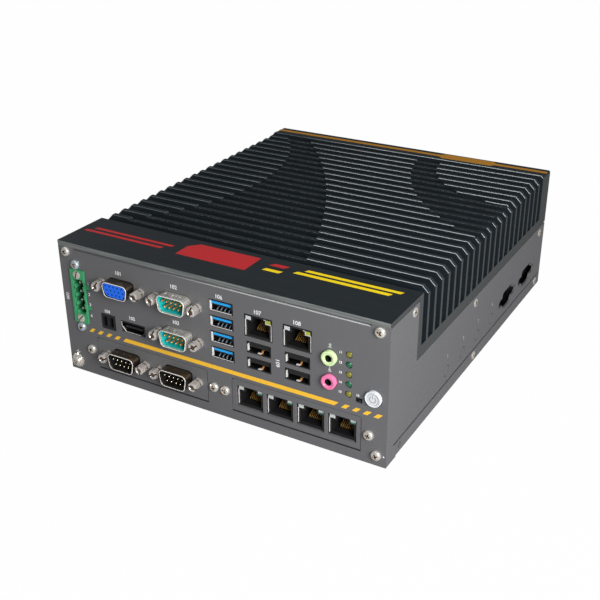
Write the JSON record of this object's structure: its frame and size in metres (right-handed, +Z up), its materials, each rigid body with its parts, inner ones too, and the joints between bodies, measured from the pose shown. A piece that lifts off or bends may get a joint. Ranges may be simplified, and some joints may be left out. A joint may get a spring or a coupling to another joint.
{
  "type": "fanless industrial pc",
  "caption": "Fanless industrial computer: finned black heat sink lid over a grey sheet case, with ports, lamps and a sprung power button on the front panel.",
  "frame": {"origin": "centre of the overall footprint, on the surface that the rubber feet stand on", "axes": "+Z up, the port panel faces -Y, +X to the right seen from the front"},
  "size_m": [0.1938, 0.2392, 0.0794],
  "materials": {
    "black_anodised": "black anodised, satin",
    "grey_paint": "dark grey powder coat, satin",
    "bright_steel": "nickel plated, bright",
    "dark_steel": "nickel plated, dull",
    "terminal_green": "moulded",
    "port_blue": "moulded",
    "port_teal": "moulded",
    "port_black": "moulded",
    "gold_contact": "gold plated",
    "clear_lens": "clear moulding",
    "ring_green": "moulded",
    "ring_pink": "moulded",
    "lamp_colour": "tinted lens",
    "button_white": "moulded",
    "circuit_board": "solder mask",
    "chip_black": "moulded",
    "bare_aluminium": "milled",
    "pad_grey": "soft pad",
    "foot_rubber": "matt"
  },
  "bodies": {
    "case": {"heatsink": "black_anodised", "front_panel": "grey_paint", "chassis": "grey_paint", "bottom_cover": "grey_paint", "rubber_feet": "foot_rubber", "serial_module_plate": "grey_paint", "lan_module_plate": "grey_paint", "serial_module_board": "circuit_board", "lan_module_board": "circuit_board", "vga_shell": "bright_steel", "vga_insert": "port_blue", "com_1_shell": "bright_steel", "com_1_insert": "port_teal", "com_2_shell": "bright_steel", "com_2_insert": "port_teal", "com_3_shell": "dark_steel", "com_3_insert": "port_black", "com_4_shell": "dark_steel", "com_4_insert": "port_black", "serial_pins": "gold_contact", "jackscrews": "bright_steel", "power_terminal": "terminal_green", "power_terminal_pins": "bright_steel", "power_terminal_screws": "bright_steel", "remote_switch_header": "port_black", "display_shell": "bright_steel", "display_tongue": "port_black", "usb3_housing": "bright_steel", "usb3_tongues": "port_blue", "lan_usb_1_housing": "bright_steel", "lan_usb_2_housing": "bright_steel", "lan_jack_1": "bright_steel", "lan_jack_2": "bright_steel", "lan_jack_3": "bright_steel", "lan_jack_4": "bright_steel", "jack_inserts": "port_black", "jack_contacts": "gold_contact", "jack_lights": "clear_lens", "microphone_ring": "ring_pink", "line_out_ring": "ring_green", "audio_jack_block": "port_black", "status_lamps": "lamp_colour", "lamp_holder": "port_black", "selector_switch": "port_black", "power_switch": "port_black", "mainboard": "circuit_board", "standoffs": "bright_steel", "processor": "chip_black", "thermal_pad": "pad_grey", "heat_block": "bare_aluminium", "memory_socket": "port_black", "memory_module": "circuit_board", "drive_bracket": "bright_steel", "storage_drive": "bare_aluminium", "battery_holder": "port_black", "coin_cell": "bright_steel", "pan_screws": "bright_steel", "earth_washers": "bright_steel", "case_screws": "bright_steel"},
    "button": {"power_button": "button_white"}
  },
  "joints": [
    {"name": "power_button_press", "type": "slide", "parent": "case", "child": "button", "axis": [0, 1, 0], "range_m": [0, 0.001], "stiffness_N_per_m": 1500}
  ]
}
